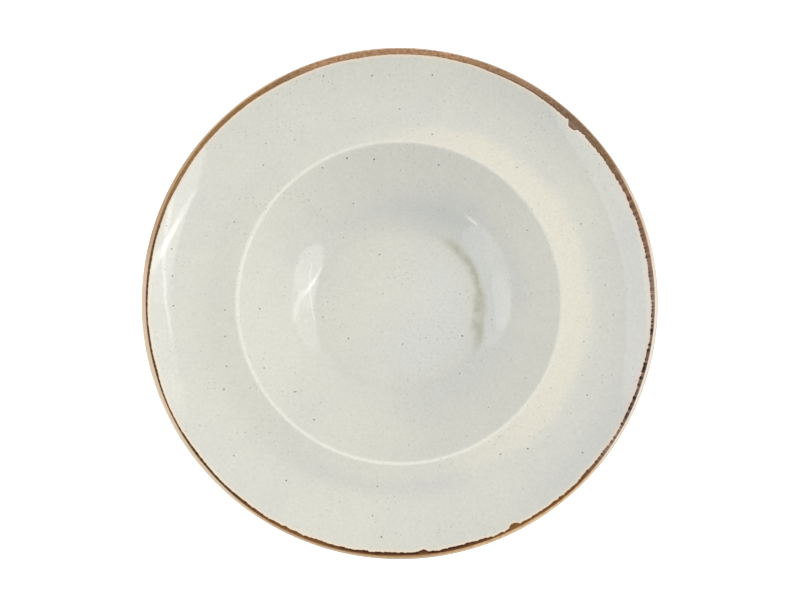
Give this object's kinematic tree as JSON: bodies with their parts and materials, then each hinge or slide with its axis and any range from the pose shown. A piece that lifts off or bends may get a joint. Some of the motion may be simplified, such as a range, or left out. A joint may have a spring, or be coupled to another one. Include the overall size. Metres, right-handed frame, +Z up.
{
  "type": "rimmed soup plate",
  "caption": "Round rimmed soup plate in glazed stoneware: a shallow well inside a raised crest, a wide dished rim with a brown edge band, and a foot ring.",
  "frame": {"origin": "centre of the foot ring's bearing plane, under the plate's axis", "axes": "+Z up along the plate's axis of symmetry; X and Y lie in the bearing plane and are alike"},
  "size_m": [0.28, 0.28, 0.0445],
  "materials": {
    "fired_clay": "bare fired stoneware, ground smooth",
    "grey_white_glaze": "glossy grey-white glaze with fine speckle",
    "brown_band_glaze": "glossy brown iron-oxide band, hand applied"
  },
  "bodies": {
    "root": {"clay_body": "fired_clay", "face_glaze": "grey_white_glaze", "edge_band": "brown_band_glaze", "back_glaze": "grey_white_glaze", "recess_glaze": "grey_white_glaze"}
  },
  "joints": []
}
